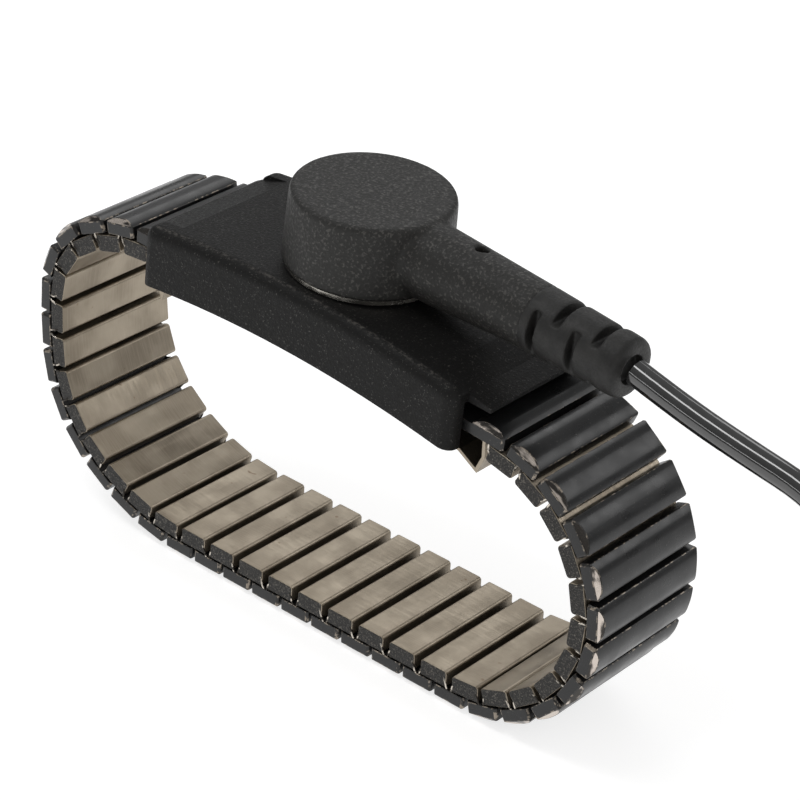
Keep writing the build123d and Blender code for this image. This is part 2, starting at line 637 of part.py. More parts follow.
with BuildPart() as clip_pivot:
    with BuildSketch(CLIP_SIDE):
        with Locations(PIVOT):
            Circle(PIVOT_RADIUS - 0.05)
    extrude(amount=JAW_WIDTH / 2 + 0.8, both=True)
    with BuildSketch(CLIP_SIDE.offset(JAW_WIDTH / 2 + 0.1), CLIP_SIDE.offset(-JAW_WIDTH / 2 - 0.8)):
        with Locations(PIVOT):
            Circle(PIVOT_RADIUS + 0.5)
    extrude(amount=0.7)
write(clip_pivot.part, "clip_pivot")

with BuildPart() as clip_spring:
    with BuildSketch(CLIP_SIDE):
        with Locations(PIVOT):
            Circle(PIVOT_RADIUS + 0.6)
            Circle(PIVOT_RADIUS + 0.05, mode=Mode.SUBTRACT)
    extrude(amount=1.5, both=True)
write(clip_spring.part, "clip_spring")
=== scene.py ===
"""Looks of the ESD wrist strap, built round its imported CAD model. Sizes are in millimetres, times MM."""

import json
import math
import random

import bmesh
import bpy
from mathutils import Matrix, Vector


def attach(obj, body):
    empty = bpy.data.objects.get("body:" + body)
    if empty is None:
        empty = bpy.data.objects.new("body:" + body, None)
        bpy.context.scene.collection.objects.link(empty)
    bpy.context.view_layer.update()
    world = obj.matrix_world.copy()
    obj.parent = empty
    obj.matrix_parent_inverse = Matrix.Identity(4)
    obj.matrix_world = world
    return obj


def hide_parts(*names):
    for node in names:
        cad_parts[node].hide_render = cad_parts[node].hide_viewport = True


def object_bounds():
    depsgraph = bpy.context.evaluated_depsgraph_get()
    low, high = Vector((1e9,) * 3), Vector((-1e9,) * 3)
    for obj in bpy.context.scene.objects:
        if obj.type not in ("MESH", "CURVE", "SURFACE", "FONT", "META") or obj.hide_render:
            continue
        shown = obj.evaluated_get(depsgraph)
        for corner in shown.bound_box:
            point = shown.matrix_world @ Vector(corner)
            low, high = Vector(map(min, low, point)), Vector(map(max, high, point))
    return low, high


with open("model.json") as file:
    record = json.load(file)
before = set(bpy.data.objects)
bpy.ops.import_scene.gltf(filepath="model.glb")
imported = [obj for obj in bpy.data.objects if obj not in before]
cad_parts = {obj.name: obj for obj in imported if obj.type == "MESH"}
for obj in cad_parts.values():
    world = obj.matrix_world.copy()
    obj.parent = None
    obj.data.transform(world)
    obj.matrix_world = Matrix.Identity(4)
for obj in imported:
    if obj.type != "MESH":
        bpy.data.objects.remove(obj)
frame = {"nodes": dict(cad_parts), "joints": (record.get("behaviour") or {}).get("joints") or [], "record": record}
cad_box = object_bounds()
MM = 0.001
scene = bpy.context.scene

# ------------------------------------------------------------------ the band's line, as in the part
BAND_WIDTH = 18.0
PITCH = 4.76
LAST_LINK = 33
LEFT_LINKS = 17
OUTER_THICK = 2.15
INNER_THICK = 2.2
ROW_GAP = 0.1
CAP_LENGTH = 4.4
SLEEVE_LENGTH = 3.8
BEND_LEFT = [(20.78, 26.8), (12.0, 63.4), (55.97, 8.2), (17.54, 46.5), (25.59, 37.6)]
BOTTOM_RUN = 43.42
BEND_RIGHT = [(16.98, 69.7), (16.86, 107.8)]
START_ANGLE = 360.0 - sum(angle for _, angle in BEND_LEFT)


def walk(distance):
    """Point and direction at a distance along the neutral line, before the line is put in place."""
    x, z, angle = 0.0, 0.0, math.radians(START_ANGLE)
    for radius, size in BEND_LEFT + [(0.0, BOTTOM_RUN)] + BEND_RIGHT:
        length = radius * math.radians(size) if radius else size
        step = min(distance, length)
        if radius:
            turned = angle + step / radius
            x += radius * (math.sin(turned) - math.sin(angle))
            z -= radius * (math.cos(turned) - math.cos(angle))
            angle = turned
        else:
            x += step * math.cos(angle)
            z += step * math.sin(angle)
        distance -= step
        if distance <= 0:
            break
    return x + distance * math.cos(angle), z + distance * math.sin(angle), angle


# The bottom run's middle cap is the rest mount, which fixes the line along X.
bottom_length = sum(radius * math.radians(angle) for radius, angle in BEND_LEFT)
bottom_z = walk(bottom_length)[1]
rest_row = round((bottom_length + BOTTOM_RUN / 2) / PITCH)
mounts = {mount["name"]: mount for mount in frame["record"]["mounts"]}
shift_x = mounts["rest_face"]["pos_m"][0] / MM - walk(rest_row * PITCH)[0]


def station(row):
    """A link's own frame in metres: x along the band, y across it, z towards the wrist."""
    x, z, angle = walk(row * PITCH)
    place = Vector((x + shift_x, 0, z - bottom_z + OUTER_THICK)) * MM
    return Matrix.Translation(place) @ Matrix.Rotation(-angle, 4, "Y")


# ------------------------------------------------------------------ camera
CAMERA_PLACE = (188.6, -225.1, 197.95)
CAMERA_AZIMUTH = 38.95          # from +Y towards -X
CAMERA_DROP = 30.22             # below the horizontal
CAMERA_ROLL = 3.91
CAMERA_LENS = 132.36
camera = bpy.data.objects.new("camera", bpy.data.cameras.new("camera"))
scene.collection.objects.link(camera)
camera.data.lens = CAMERA_LENS
camera.data.sensor_width = 36.0
camera.data.clip_start = 0.01
camera.matrix_world = (Matrix.Translation(Vector(CAMERA_PLACE) * MM)
                       @ Matrix.Rotation(math.radians(CAMERA_AZIMUTH), 4, "Z")
                       @ Matrix.Rotation(math.radians(90 - CAMERA_DROP), 4, "X")
                       @ Matrix.Rotation(math.radians(CAMERA_ROLL), 4, "Z"))
scene.camera = camera


# ------------------------------------------------------------------ material nodes
class Paint:
    """A Principled material and short ways to add nodes to it. Lengths are in millimetres on the piece."""

    def __init__(self, name, own=False, metallic=0.0, coat=0.0, specular=0.5, anisotropic=0.0):
        self.made = bpy.data.materials.new(name)
        self.made.use_nodes = True
        self.tree = self.made.node_tree
        self.shader = self.tree.nodes["Principled BSDF"]
        self.shader.inputs["Metallic"].default_value = metallic
        self.shader.inputs["Coat Weight"].default_value = coat
        self.shader.inputs["Specular IOR Level"].default_value = specular
        self.shader.inputs["Anisotropic"].default_value = anisotropic
        if own:
            source = self.node("ShaderNodeAttribute")
            source.attribute_name = "place"
            self.place = source.outputs["Vector"]
        else:
            coords = self.node("ShaderNodeTexCoord").outputs["Object"]
            self.place = self.stretched(coords, (1 / MM, 1 / MM, 1 / MM))

    def node(self, kind):
        return self.tree.nodes.new(kind)

    def join(self, a, b):
        self.tree.links.new(a, b)

    def stretched(self, vector, scale):
        """The vector times a scale along each axis."""
        mapping = self.node("ShaderNodeMapping")
        mapping.inputs["Scale"].default_value = scale
        self.join(vector, mapping.inputs["Vector"])
        return mapping.outputs["Vector"]

    def noise(self, size, detail=2.0, stretch=(1, 1, 1), rough=0.5):
        """Noise whose features are about `size` millimetres across."""
        noise = self.node("ShaderNodeTexNoise")
        noise.inputs["Scale"].default_value = 1.0 / size
        noise.inputs["Detail"].default_value = detail
        noise.inputs["Roughness"].default_value = rough
        self.join(self.stretched(self.place, stretch), noise.inputs["Vector"])
        return noise.outputs["Fac"]

    def ramp(self, value, low, high, start=0.0, end=1.0):
        """Value mapped from low..high to start..end, smoothly, and clamped."""
        node = self.node("ShaderNodeMapRange")
        node.interpolation_type = "SMOOTHSTEP"
        node.inputs["From Min"].default_value = low
        node.inputs["From Max"].default_value = high
        node.inputs["To Min"].default_value = start
        node.inputs["To Max"].default_value = end
        self.join(value, node.inputs["Value"])
        return node.outputs["Result"]

    def math(self, kind, a, b=0.0):
        node = self.node("ShaderNodeMath")
        node.operation = kind
        for value, socket in ((a, node.inputs[0]), (b, node.inputs[1])):
            if isinstance(value, (int, float)):
                socket.default_value = value
            else:
                self.join(value, socket)
        return node.outputs[0]

    def mix(self, share, first, second):
        """Colour between two, each a socket or an (r, g, b)."""
        node = self.node("ShaderNodeMix")
        node.data_type = "RGBA"
        self.join(share, node.inputs["Factor"])
        for value, socket in ((first, node.inputs[6]), (second, node.inputs[7])):
            if isinstance(value, tuple):
                socket.default_value = (*value, 1.0)
            else:
                self.join(value, socket)
        return node.outputs[2]

    def set(self, **sockets):
        for name, value in sockets.items():
            self.join(value, self.shader.inputs[name.replace("_", " ")])

    def facing(self, direction):
        """Cosine of the angle between the surface's normal and a direction."""
        node = self.node("ShaderNodeVectorMath")
        node.operation = "DOT_PRODUCT"
        self.join(self.node("ShaderNodeNewGeometry").outputs["Normal"], node.inputs[0])
        node.inputs[1].default_value = direction
        return node.outputs["Value"]

    def bump(self, height, depth):
        """Bump of a height map, its full range `depth` millimetres deep."""
        node = self.node("ShaderNodeBump")
        node.inputs["Strength"].default_value = 1.0
        node.inputs["Distance"].default_value = depth * MM
        self.join(height, node.inputs["Height"])
        self.join(node.outputs["Normal"], self.shader.inputs["Normal"])


def black_paint():
    """Satin stoved black paint on the caps, a little cloudy, with fine dust pips."""
    paint = Paint("black_paint", own=True, coat=0.1, specular=0.36)
    cloud = paint.noise(3.0, detail=3.0)
    pips = paint.ramp(paint.noise(0.22, detail=1.0), 0.70, 0.76)
    paint.set(Base_Color=paint.mix(pips, (0.0075, 0.0077, 0.0081), (0.04, 0.038, 0.034)),
              Roughness=paint.ramp(cloud, 0.3, 0.7, 0.26, 0.40))
    paint.bump(paint.math("ADD", paint.math("MULTIPLY", paint.noise(0.5, detail=2.0), 0.5),
                          paint.math("MULTIPLY", pips, 0.6)), 0.012)
    return paint.made


def worn_edge():
    """Cap edges: black paint rubbed through to brownish metal in patches."""
    paint = Paint("worn_edge", own=True, metallic=0.35, specular=0.6)
    rubbed = paint.ramp(paint.noise(0.7, detail=4.0, rough=0.65), 0.50, 0.60)
    paint.set(Base_Color=paint.mix(rubbed, (0.02, 0.019, 0.018), (0.30, 0.255, 0.205)),
              Roughness=paint.ramp(rubbed, 0, 1, 0.32, 0.26))
    paint.bump(paint.noise(0.2, detail=2.0), 0.015)
    return paint.made


def rubbed_facet():
    """The bevelled ends of the caps, polished by wear."""
    paint = Paint("rubbed_facet", own=True, metallic=0.85, specular=0.6)
    streak = paint.ramp(paint.noise(1.6, detail=3.0, stretch=(0.5, 1.6, 1.0)), 0.44, 0.56)
    paint.set(Base_Color=paint.mix(streak, (0.05, 0.046, 0.042), (0.62, 0.55, 0.49)),
              Roughness=paint.ramp(paint.noise(0.4), 0.3, 0.7, 0.16, 0.28))
    return paint.made


def brushed_steel(name, own=True):
    """Stainless steel, brushed along the band, with stains and small brown spots."""
    paint = Paint(name, own=own, metallic=1.0, anisotropic=0.35)
    lines = paint.noise(0.16, detail=3.0, stretch=(0.05, 1.0, 1.0))
    cloud = paint.noise(5.0, detail=3.0)
    spots = paint.ramp(paint.noise(1.1, detail=1.0), 0.74, 0.80)
    plain = paint.mix(paint.ramp(cloud, 0.35, 0.65), (0.255, 0.216, 0.166), (0.37, 0.320, 0.252))
    brushed = paint.mix(paint.ramp(lines, 0.35, 0.75, 0.0, 0.35), plain, (0.52, 0.46, 0.375))
    paint.set(Base_Color=paint.mix(paint.math("MULTIPLY", spots, 0.6), brushed, (0.16, 0.10, 0.06)),
              Roughness=paint.ramp(lines, 0.3, 0.7, 0.38, 0.54))
    paint.bump(lines, 0.006)
    return paint.made


def sprayed_end():
    """Sleeve ends and clip bars, dusted with black paint over a coarse grain."""
    paint = Paint("sprayed_end", own=True, metallic=0.3, specular=0.4)
    grain = paint.noise(0.22, detail=3.0, rough=0.7)
    bare = paint.ramp(grain, 0.54, 0.66)
    paint.set(Base_Color=paint.mix(bare, (0.020, 0.019, 0.0175), (0.125, 0.112, 0.095)),
              Roughness=paint.ramp(grain, 0.3, 0.7, 0.60, 0.42))
    paint.bump(grain, 0.10)
    return paint.made


def clip_steel():
    """Thin wire clips: dark steel with bright rubbed stretches."""
    paint = Paint("clip_steel", own=True, metallic=1.0)
    bright = paint.ramp(paint.noise(0.8, detail=2.0), 0.45, 0.58)
    paint.set(Base_Color=paint.mix(bright, (0.05, 0.045, 0.04), (0.62, 0.57, 0.50)),
              Roughness=paint.ramp(bright, 0, 1, 0.5, 0.22))
    return paint.made


def moulded_black():
    """Plate housing: spark-eroded black plastic, painted glints, painted highlight and rubbing on its long
    shoulders.
    """
    paint = Paint("moulded_black", specular=0.14)
    grain = paint.noise(0.30, detail=2.0, rough=0.6)
    fine = paint.noise(0.14, detail=1.0)
    # Painted glints: lighter specks put into the colour, the same whether they are lit or not.
    painted_glint = paint.ramp(paint.math("MULTIPLY", grain, fine), 0.36, 0.44)
    # Painted highlight, partly rubbed wear: lighter where the surface rounds off along the long shoulders, in
    # patches.
    upward = paint.facing(PLATE_UP)
    rounding = paint.math("MULTIPLY", paint.ramp(upward, 0.80, 0.93),
                          paint.ramp(upward, 0.955, 0.985, 1.0, 0.0))
    long_side = paint.ramp(paint.math("ABSOLUTE", paint.facing((0, 1, 0))), 0.10, 0.20)
    highlight_and_rubbing = paint.math("MULTIPLY", paint.math("MULTIPLY", rounding, long_side),
                      paint.ramp(paint.noise(0.5, detail=5.0, rough=0.75), 0.44, 0.66))
    base = paint.mix(painted_glint, (0.0095, 0.0093, 0.009), (0.070, 0.067, 0.062))
    paint.set(Base_Color=paint.mix(highlight_and_rubbing, base, (0.075, 0.070, 0.064)),
              Roughness=paint.ramp(grain, 0.3, 0.7, 0.58, 0.44))
    paint.bump(paint.math("ADD", grain, paint.math("MULTIPLY", fine, 0.5)), 0.06)
    return paint.made


def charcoal_grain():
    """Connector head and neck: charcoal plastic with a coarse even grain."""
    paint = Paint("charcoal_grain", specular=0.34)
    grain = paint.noise(0.34, detail=2.0, rough=0.55)
    specks = paint.ramp(grain, 0.54, 0.70)
    paint.set(Base_Color=paint.mix(specks, (0.017, 0.0165, 0.0152), (0.062, 0.059, 0.054)),
              Roughness=paint.ramp(grain, 0.3, 0.7, 0.62, 0.46))
    paint.bump(grain, 0.08)
    return paint.made


def relief_rubber(name="relief_rubber", tone=1.0):
    """Softer matt rubber of the strain relief and of the tie, which is darker."""
    paint = Paint(name, specular=0.4)
    grain = paint.noise(0.26, detail=3.0)
    cloud = paint.noise(2.4, detail=2.0)
    low = (0.009 * tone, 0.0088 * tone, 0.0082 * tone)
    high = (0.020 * tone, 0.0192 * tone, 0.018 * tone)
    paint.set(Base_Color=paint.mix(paint.ramp(cloud, 0.35, 0.68), low, high),
              Roughness=paint.ramp(grain, 0.3, 0.7, 0.62, 0.48))
    paint.bump(grain, 0.035)
    return paint.made


def cord_jacket():
    """Glossy extruded jacket."""
    paint = Paint("cord_jacket", coat=0.8, specular=0.8)
    ripple = paint.noise(2.2, detail=2.0)
    tone = paint.ramp(ripple, 0.4, 0.7)
    paint.set(Base_Color=paint.mix(tone, (0.006, 0.006, 0.006), (0.012, 0.012, 0.0125)),
              Roughness=paint.ramp(ripple, 0.3, 0.7, 0.07, 0.13))
    paint.bump(ripple, 0.05)
    return paint.made


def nickel():
    """Bright nickel plate with light handling marks."""
    paint = Paint("nickel", metallic=1.0)
    cloud = paint.noise(1.5, detail=4.0)
    paint.set(Base_Color=paint.mix(paint.ramp(cloud, 0.35, 0.7), (0.56, 0.53, 0.48), (0.70, 0.67, 0.61)),
              Roughness=paint.ramp(cloud, 0.3, 0.7, 0.14, 0.30))
    paint.bump(paint.noise(0.3, detail=2.0), 0.004)
    return paint.made


def lacquer():
    """Resistor body."""
    paint = Paint("resistor_lacquer", coat=0.4)
    cloud = paint.noise(0.8, detail=2.0)
    paint.set(Base_Color=paint.mix(cloud, (0.16, 0.33, 0.46), (0.22, 0.42, 0.56)),
              Roughness=paint.ramp(cloud, 0.3, 0.7, 0.25, 0.4))
    return paint.made


joints = {joint["name"]: joint for joint in frame["joints"]}
PLATE_UP = joints["snap_off"]["axis"]
plate_tilt = math.atan2(PLATE_UP[0], PLATE_UP[2])

# ------------------------------------------------------------------ mesh helpers
GRAIN_SHIFT = 400               # moves each copy's grain, so that no two copies look the same
dice = random.Random(7)


def link_object(name, mesh):
    made = bpy.data.objects.new(name, mesh)
    scene.collection.objects.link(made)
    return made


def applied(source):
    """The mesh of an object with its modifiers applied; the object is deleted."""
    bpy.context.view_layer.update()
    graph = bpy.context.evaluated_depsgraph_get()
    mesh = bpy.data.meshes.new_from_object(source.evaluated_get(graph))
    bpy.data.objects.remove(source)
    return mesh


def extruded(profile, half_width):
    """bmesh of an (x, z) profile in millimetres, extruded across the band."""
    form = bmesh.new()
    near = [form.verts.new((x, -half_width, z)) for x, z in profile]
    far = [form.verts.new((x, half_width, z)) for x, z in profile]
    form.faces.new(near)
    form.faces.new(far[::-1])
    for i in range(len(profile)):
        j = (i + 1) % len(profile)
        form.faces.new((near[j], near[i], far[i], far[j]))
    bmesh.ops.recalc_face_normals(form, faces=form.faces)
    return form


def cut(form, point, normal, material):
    """Cuts off what lies beyond a plane and closes the cut with one material."""
    geometry = form.verts[:] + form.edges[:] + form.faces[:]
    made = bmesh.ops.bisect_plane(form, geom=geometry, plane_co=point, plane_no=normal, clear_outer=True)
    edges = [e for e in made["geom_cut"] if isinstance(e, bmesh.types.BMEdge)]
    for face in bmesh.ops.contextual_create(form, geom=edges)["faces"]:
        face.material_index = material
    bmesh.ops.recalc_face_normals(form, faces=form.faces)


def finished(form, materials, width, segments, edge=-1, angle=25.0):
    """Mesh of a bmesh with its sharp edges bevelled in one of its materials and its normals weighted."""
    mesh = bpy.data.meshes.new("form")
    for material in materials:
        mesh.materials.append(material)
    form.to_mesh(mesh)
    form.free()
    for polygon in mesh.polygons:
        polygon.use_smooth = True
    source = link_object("form", mesh)
    bevel = source.modifiers.new("bevel", "BEVEL")
    bevel.width = width
    bevel.segments = segments
    bevel.limit_method = "ANGLE"
    bevel.angle_limit = math.radians(angle)
    bevel.material = edge
    normals = source.modifiers.new("normals", "WEIGHTED_NORMAL")
    normals.keep_sharp = True
    return applied(source)


def stamped(mesh, to_frame):
    """A copy of a millimetre mesh put into the part's frame, keeping its own place as an attribute."""
    copy = mesh.copy()
    shift = Vector([dice.uniform(-GRAIN_SHIFT, GRAIN_SHIFT) for _ in range(3)])
    place = copy.attributes.new("place", "FLOAT_VECTOR", "POINT")
    for vertex, item in zip(copy.vertices, place.data):
        item.vector = vertex.co + shift
    copy.transform(to_frame @ Matrix.Scale(MM, 4))
    return copy


def piece(name, mesh, body, replaces=()):
    """A finished piece on a body."""
    made = link_object(name, mesh)
    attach(made, body)
    if replaces:
        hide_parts(*replaces)
    return made


# ------------------------------------------------------------------ link meshes, in the link's frame
CAP_RISE = 0.60                 # how much the cap's painted face bulges
CAP_FACETS = 12
FLATNESS = 2.7                  # power of the bulge: higher is flatter in the middle
FACET_DEPTH = 0.62              # how far the end facet reaches in from the end
FACET_DROP = 0.02               # how far from the shoulder towards the wrist it starts
CORNER_CUT = 0.28               # sides of the chamfer at each corner
TUCK = 3.2                      # how far an end cap reaches in under the plate
TUCK_DROP = 0.12                # how far from the shoulder towards the wrist that strip's face lies
SLEEVE_ROUND = 0.42             # radius of a sleeve's long edges
SLEEVE_STEPS = 5
SLEEVE_INSET = 0.06             # how far a sleeve stops short of the cap's end
WIRE_RADIUS = 0.13
CLIP_OFFSET = 0.08              # how much nearer the middle the second wire of an edge lies


def cap_mesh(tucked=0):
    """Painted cap: bulged face, an oval facet cut at each end and rubbed corners.

    An end cap also has a strip tucked under the plate, on the side that `tucked` gives as -1 or 1.
    """
    half = CAP_LENGTH / 2
    shoulder = OUTER_THICK - CAP_RISE
    face = []
    for i in range(CAP_FACETS + 1):
        x = -half + CAP_LENGTH * i / CAP_FACETS
        face.append((x, -shoulder - CAP_RISE * (1 - abs(x / half) ** FLATNESS)))
    profile = [(-half, -ROW_GAP)] + face + [(half, -ROW_GAP)]
    if tucked:
        low = -shoulder + TUCK_DROP
        strip = [(half, low), (half + TUCK, low), (half + TUCK, -ROW_GAP)]
        profile = [(-half, -ROW_GAP)] + face + strip
        profile = [(tucked * x, z) for x, z in profile]
    form = extruded(profile, BAND_WIDTH / 2)
    for side in (-1, 1):
        cut(form, (0, side * BAND_WIDTH / 2, -shoulder + FACET_DROP), (0, side * CAP_RISE, -FACET_DEPTH), 2)
        for ahead in (-1, 1):
            if ahead != tucked:
                cut(form, (ahead * (half - CORNER_CUT), side * BAND_WIDTH / 2, 0), (ahead, side, 0), 1)
    return finished(form, paint_set, width=0.09, segments=2, edge=1)


def sleeve_mesh():
    """Steel sleeve: long edges rolled round, ends closed by the clip bars."""
    half = SLEEVE_LENGTH / 2
    profile = [(-half, ROW_GAP), (half, ROW_GAP)]
    for side in (1, -1):
        for i in range(SLEEVE_STEPS + 1):
            turn = math.pi / 2 * (i / SLEEVE_STEPS if side > 0 else 1 - i / SLEEVE_STEPS)
            profile.append((side * (half - SLEEVE_ROUND + SLEEVE_ROUND * math.cos(turn)),
                            INNER_THICK - SLEEVE_ROUND + SLEEVE_ROUND * math.sin(turn)))
    form = extruded(profile, BAND_WIDTH / 2 - SLEEVE_INSET)
    for face in form.faces:
        if abs(face.normal.y) > 0.9:
            face.material_index = 1
    return finished(form, sleeve_set, width=0.14, segments=3, angle=40.0)


def wire_mesh(route, side):
    """A bent wire at one edge of the band, from its (x, y, z) route on the far side."""
    curve = bpy.data.curves.new("wire", "CURVE")
    curve.dimensions = "3D"
    curve.bevel_depth = WIRE_RADIUS
    curve.bevel_resolution = 2
    curve.use_fill_caps = True
    line = curve.splines.new("POLY")
    line.points.add(len(route) - 1)
    for point, (x, y, z) in zip(line.points, route):
        point.co = (x, side * y, z, 1)
    return applied(link_object("wire", curve))


def joined(meshes):
    """One mesh of several, which are deleted."""
    form = bmesh.new()
    for mesh in meshes:
        form.from_mesh(mesh)
        bpy.data.meshes.remove(mesh)
    made = bpy.data.meshes.new("joined")
    form.to_mesh(made)
    form.free()
    return made


# From inside the sleeve, round its end and down to the inside of the cap.
CLIP_ROUTE = [
    (1.55, 8.2, 1.15),
    (1.62, 8.88, 1.15),
    (1.86, 8.93, 0.75),
    (1.98, 8.92, 0.30),
    (2.06, 8.86, 0.02),
    (2.34, 8.80, -0.35),
    (2.40, 8.74, -0.80),
    (2.30, 8.2, -1.0),
]


def clips_mesh():
    """The four wires of one link: two at each edge, mirrored along the band."""
    wires = []
    for side in (-1, 1):
        wires.append(wire_mesh(CLIP_ROUTE, side))
        wires.append(wire_mesh([(-x, y - CLIP_OFFSET, z) for x, y, z in CLIP_ROUTE], side))
    mesh = joined(wires)
    mesh.materials.append(clip_paint)
    for polygon in mesh.polygons:
        polygon.use_smooth = True
    return mesh


paint_set = [black_paint(), worn_edge(), rubbed_facet()]
sleeve_set = [brushed_steel("sleeve_steel"), sprayed_end()]
clip_paint = clip_steel()
cap, sleeve, clips = cap_mesh(), sleeve_mesh(), clips_mesh()


def link_module(number, inner_row, cap_row):
    """One module of the band: its steel sleeve, its clips and, but for the closing link, its painted cap."""
    body, node = f"link_{number:02d}", f"band_link_{number:02d}"
    inner_place = station(inner_row)
    piece(f"inner_sleeve_{number:02d}", stamped(sleeve, inner_place), body, [node])
    piece(f"clip_wires_{number:02d}", stamped(clips, inner_place), body)
    if cap_row is not None:
        piece(f"outer_cap_{number:02d}", stamped(cap, station(cap_row)), body, [node])


for row in range(1, LEFT_LINKS):
    link_module(row, row - 0.5, row)
link_module(LEFT_LINKS, LEFT_LINKS - 0.5, None)
for row in range(LAST_LINK, LEFT_LINKS, -1):
    link_module(row, row - 0.5, row - 1)
for row, side, tucked in ((0, "left", -1), (LAST_LINK, "right", 1)):
    end_cap = stamped(cap_mesh(tucked), station(row))
    piece(f"end_cap_{side}", end_cap, "plate", [f"end_link_{side}"])

# ------------------------------------------------------------------ lead, with the points of the part's route
CORD = 3.0
HANK_X = 73.5
HANK_LENGTH = 60.0
HANK_BEND = 9.0                 # to the middle of the inner column's cord
HANK_HIGH = 7                   # layers
HANK_ENTRY = 9.0                # how far past the near bend the lead joins the inner column
HANK_LEAVING = 1.0              # how far short of the far bend the outer column starts and the tail leaves
TIE_THICK = 0.8
TIE_WIDTH = 9.0
TIE_CORNER = 1.6
PLUG = (161.5, -5.0, 4.65)
hank_width = 2 * HANK_BEND + 3 * CORD
hank_bottom = TIE_THICK + 0.05
hank_near = HANK_X + hank_width / 2
hank_far = HANK_X + HANK_LENGTH - hank_width / 2
last_layer = hank_bottom + (HANK_HIGH - 0.5) * CORD
first_layer = hank_bottom + CORD / 2
LEAD_ROUTE = [
    (46.5, -2.2, 45.9),
    (55.0, -2.8, 44.8),
    (64.0, -3.5, 43.9),
    (71.5, -4.7, 39.9),
    (77.2, -6.0, 33.4),
    (82.5, -7.4, 26.6),
    (89.0, -8.6, 22.2),
    (hank_near + HANK_ENTRY, -HANK_BEND, last_layer),
]
TAIL_ROUTE = [
    (130.0, -12.3, 19.4),
    (138.5, -11.2, 15.0),
    (146.0, -8.8, 9.3),
    (153.5, -6.3, 5.6),
    PLUG,
]

BEND_POINTS = 6                 # in half a turn of the hank
STRAIGHT_INSET = 3.0            # how far from a bend the nearest control point of a straight side lies

# The connector's frame: origin on the plate under the stud, x along the neck.
SWIVEL_REST = -2.7              # degrees that the neck is turned from the band's line
NECK_HEIGHT, TAIL_END = 10.5, 38.8
STUD = Vector(joints["lead_swivel"]["pos_m"])
HEAD = (Matrix.Translation(STUD) @ Matrix.Rotation(plate_tilt, 4, "Y")
        @ Matrix.Rotation(math.radians(SWIVEL_REST), 4, "Z"))
lead_exit = HEAD @ (Vector((TAIL_END, 0, NECK_HEIGHT)) * MM)


def bend_points(centre, radius, start):
    """Control points round half a turn, set out so that the curve itself has the radius."""
    step = 180.0 / BEND_POINTS
    out = radius / (0.75 + 0.25 * math.cos(math.radians(step)))
    angles = [math.radians(start + step * (i + 0.5)) for i in range(BEND_POINTS)]
    return [(centre + out * math.cos(a), out * math.sin(a)) for a in angles]


def hank_turn(radius, start):
    """One turn of the hank, from just past `start` on its near side back to it, as (x, y)."""
    near_side = [hank_near + STRAIGHT_INSET, (hank_near + hank_far) / 2, hank_far - STRAIGHT_INSET]
    far_side = near_side[::-1]
    ahead = [(x, -radius) for x in near_side if x > start + STRAIGHT_INSET]
    behind = [(x, -radius) for x in near_side if x < start - STRAIGHT_INSET]
    return (ahead + bend_points(hank_far, radius, -90) + [(x, radius) for x in far_side]
            + bend_points(hank_near, radius, 90) + behind + [(start, -radius)])


def helix(radius, start, bottom, rise):
    """Turns of one column of the hank, each a cord's width above or below the last."""
    points = []
    for turn in range(HANK_HIGH - 1):
        outline = hank_turn(radius, start)
        last, total = Vector((start, -radius)), 0.0
        steps = []
        for x, y in outline:
            total += (Vector((x, y)) - last).length
            steps.append(total)
            last = Vector((x, y))
        for (x, y), gone in zip(outline, steps):
            points.append((x, y, bottom + rise * CORD * (turn + gone / total)))
    return points


outer_bend = HANK_BEND + CORD
tail_start = hank_far - HANK_LEAVING
CROSSING = [
    (hank_near + 15.5, -HANK_BEND - 0.6, first_layer),
    (hank_near + 22.5, -outer_bend + 0.4, first_layer),
    (tail_start, -outer_bend, first_layer),
]
cord_points = [tuple(lead_exit / MM)] + LEAD_ROUTE
cord_points += helix(HANK_BEND, hank_near + HANK_ENTRY, last_layer, -1)
cord_points += CROSSING
cord_points += helix(outer_bend, tail_start, first_layer, 1)
cord_points += TAIL_ROUTE

curve = bpy.data.curves.new("lead", "CURVE")
curve.dimensions = "3D"
curve.bevel_depth = CORD / 2 * MM
curve.bevel_resolution = 6
curve.resolution_u = 6
curve.use_fill_caps = True
line = curve.splines.new("NURBS")
line.points.add(len(cord_points) - 1)
for point, place in zip(line.points, cord_points):
    point.co = (*(Vector(place) * MM), 1)
line.order_u = 3
line.use_endpoint_u = True
lead = link_object("lead", curve)
lead.data.materials.append(cord_jacket())
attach(lead, "connector")
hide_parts("cord_lead", "cord_hank", "cord_tail")

# ------------------------------------------------------------------ tie round the hank


def tie_mesh():
    """A strap with rounded corners that hugs the hank."""
    low, high = hank_bottom - 0.03, hank_bottom + HANK_HIGH * CORD + 0.05
    corner_y, low_z, high_z = hank_width / 2 + 0.1 - TIE_CORNER, low + TIE_CORNER, high - TIE_CORNER
    corners = [(corner_y, high_z, 0), (-corner_y, high_z, 90), (-corner_y, low_z, 180),
               (corner_y, low_z, 270)]
    form = bmesh.new()

    def ring(grow, x):
        points = []
        for cy, cz, start in corners:
            for i in range(7):
                turn = math.radians(start + 15 * i)
                reach = TIE_CORNER + grow
                points.append(form.verts.new((x, cy + reach * math.cos(turn), cz + reach * math.sin(turn))))
        return points

    middle = HANK_X + HANK_LENGTH / 2
    near, far = middle - TIE_WIDTH / 2, middle + TIE_WIDTH / 2
    rings = [ring(0, near), ring(TIE_THICK, near), ring(TIE_THICK, far), ring(0, far)]
    for a, b in zip(rings, rings[1:] + rings[:1]):
        for i in range(len(a)):
            j = (i + 1) % len(a)
            form.faces.new((a[i], a[j], b[j], b[i]))
    bmesh.ops.recalc_face_normals(form, faces=form.faces)
    return finished(form, [relief_rubber("tie_rubber", 0.8)], width=0.2, segments=3, angle=40)


tie = piece("hank_strap", stamped(tie_mesh(), Matrix.Identity(4)), "connector", ["hank_tie"])

# ------------------------------------------------------------------ connector


